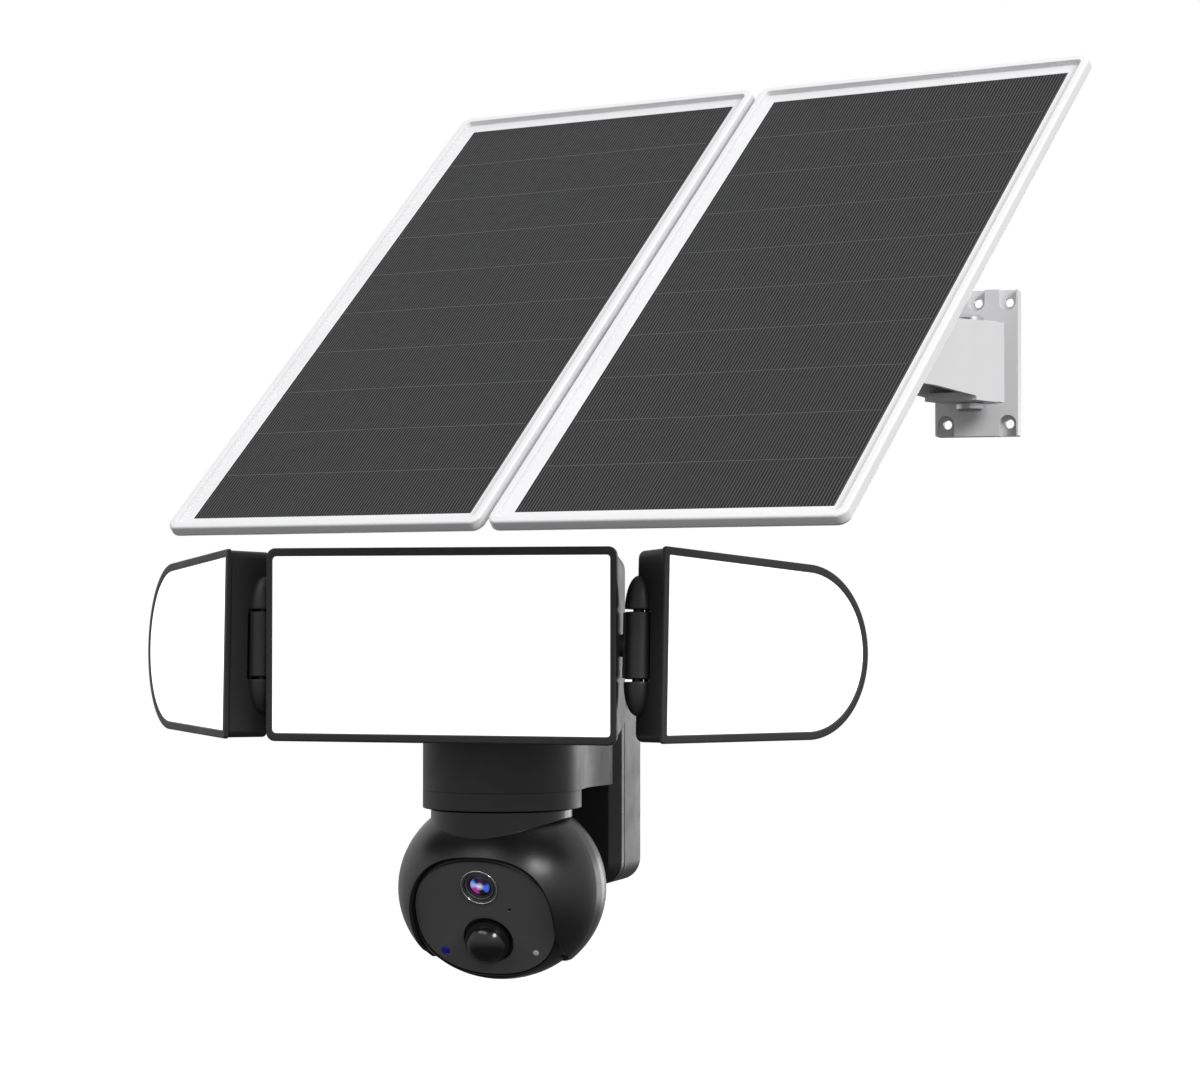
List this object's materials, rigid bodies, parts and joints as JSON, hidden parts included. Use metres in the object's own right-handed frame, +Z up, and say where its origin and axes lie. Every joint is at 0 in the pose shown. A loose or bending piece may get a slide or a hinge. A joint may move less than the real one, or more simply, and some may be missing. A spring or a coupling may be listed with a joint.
{
  "type": "floodlight security camera",
  "caption": "Wall-mounted floodlight camera: pan and tilt ball under hinged lamp panels, with a pair of framed solar panels on a swivelling bracket.",
  "frame": {"origin": "centre of the camera unit's wall plate, on the wall plane", "axes": "+Z up, -Y out of the wall towards the viewer, +X to the right; the wall is the plane Y = 0"},
  "size_m": [0.4658, 0.3359, 0.4164],
  "materials": {
    "black_abs": "satin moulded ABS",
    "gloss_abs": "semi-gloss moulded ABS",
    "face_plastic": "fine matte",
    "white_plastic": "satin UV-stable white plastic",
    "diffuser": "opal diffuser",
    "cell_laminate": "textured laminate over solar cells",
    "lens_glass": "coated",
    "sensor_dome": "polished",
    "steel": "zinc plated",
    "brass_gear": "machined",
    "board_green": "solder mask",
    "led_board": "white solder mask",
    "led": "phosphor",
    "rubber": "matte",
    "cell_wrap": "shrink wrap",
    "bush": "acetal",
    "chrome_ring": "polished",
    "status": "light pipe"
  },
  "bodies": {
    "base": {"mount_plate": "steel", "rear_shell": "black_abs", "front_cover": "black_abs", "case_screws": "steel", "battery_cells": "cell_wrap", "main_board": "board_green", "charge_inlet": "rubber", "neck_housing": "black_abs", "neck_cap": "black_abs", "pan_bush": "bush", "pan_motor": "steel", "lamp_bracket": "black_abs", "lamp_pivot_pin": "steel", "bracket_plate": "white_plastic", "swivel_bolt": "steel"},
    "button": {"power_button": "rubber"},
    "pan_drive": {"pan_pinion": "brass_gear"},
    "yoke": {"yoke_hood": "gloss_abs", "pan_spindle": "steel", "pan_gear": "brass_gear", "tilt_stubs": "steel", "tilt_gear": "brass_gear"},
    "head": {"head_shell": "gloss_abs", "face_plate": "face_plastic", "lens_ring": "chrome_ring", "lens_barrel": "black_abs", "lens_glass": "lens_glass", "motion_dome": "sensor_dome", "status_lights": "status", "sensor_board": "board_green", "speaker": "rubber", "tilt_motor": "steel", "card_cover": "rubber"},
    "tilt_drive": {"tilt_pinion": "brass_gear"},
    "centre_lamp": {"centre_casing": "black_abs", "centre_diffuser": "diffuser", "centre_gasket": "rubber", "centre_board": "led_board", "centre_leds": "led"},
    "right_hinge": {"right_link": "black_abs"},
    "left_hinge": {"left_link": "black_abs"},
    "right_lamp": {"right_casing": "black_abs", "right_diffuser": "diffuser", "right_board": "led_board", "right_leds": "led", "right_pin": "steel"},
    "left_lamp": {"left_casing": "black_abs", "left_diffuser": "diffuser", "left_board": "led_board", "left_leds": "led", "left_pin": "steel"},
    "arm": {"bracket_arm": "white_plastic"},
    "panels": {"tilt_bolt": "steel", "panel_head": "white_plastic", "panel_rail": "white_plastic", "junction_boxes": "black_abs", "right_frame": "white_plastic", "right_cells": "cell_laminate", "left_frame": "white_plastic", "left_cells": "cell_laminate"}
  },
  "joints": [
    {"name": "button_press", "type": "slide", "parent": "base", "child": "button", "axis": [0, 0, 1], "range_m": [0, 0.001], "stiffness_N_per_m": 800, "springref_m": -0.0005},
    {"name": "pan", "type": "hinge", "parent": "base", "child": "yoke", "pos_m": [0, -0.093, -0.044], "axis": [0, 0, 1], "range_deg": [-177, 177]},
    {"name": "pan_drive_spin", "type": "hinge", "parent": "base", "child": "pan_drive", "pos_m": [0, -0.0722, 0.006], "axis": [0, 0, 1], "range_deg": [-600, 600]},
    {"name": "tilt", "type": "hinge", "parent": "yoke", "child": "head", "pos_m": [0, -0.093, -0.044], "axis": [1, 0, 0], "range_deg": [-5, 62]},
    {"name": "tilt_drive_spin", "type": "hinge", "parent": "head", "child": "tilt_drive", "pos_m": [0.027, -0.08088, -0.03783], "axis": [1, 0, 0], "range_deg": [-20, 160]},
    {"name": "lamp_tilt", "type": "hinge", "parent": "base", "child": "centre_lamp", "pos_m": [0, -0.14, 0.062], "axis": [1, 0, 0], "range_deg": [-15, 15]},
    {"name": "right_twist", "type": "hinge", "parent": "centre_lamp", "child": "right_hinge", "pos_m": [0, -0.168, 0.0707], "axis": [1, 0, 0], "range_deg": [-12, 18]},
    {"name": "left_twist", "type": "hinge", "parent": "centre_lamp", "child": "left_hinge", "pos_m": [0, -0.168, 0.0707], "axis": [1, 0, 0], "range_deg": [-12, 18]},
    {"name": "right_swing", "type": "hinge", "parent": "right_hinge", "child": "right_lamp", "pos_m": [0.0895, -0.168, 0.0707], "axis": [0, 0.0593, 0.9982], "range_deg": [-53, 40]},
    {"name": "left_swing", "type": "hinge", "parent": "left_hinge", "child": "left_lamp", "pos_m": [-0.0895, -0.168, 0.0707], "axis": [0, -0.0349, -0.9994], "range_deg": [-47, 40]},
    {"name": "arm_swivel", "type": "hinge", "parent": "base", "child": "arm", "pos_m": [0.21, -0.025, 0.203], "axis": [0, 0, 1], "range_deg": [-5, 38]},
    {"name": "panel_tilt", "type": "hinge", "parent": "arm", "child": "panels", "pos_m": [0.16535, -0.18072, 0.201], "axis": [0.9613, -0.2756, 0], "range_deg": [-35, 8]}
  ],
  "couplings": [
    {"joint": "pan_drive_spin", "follows": "pan", "ratio": -3.3333},
    {"joint": "tilt_drive_spin", "follows": "tilt", "ratio": 2.4}
  ]
}
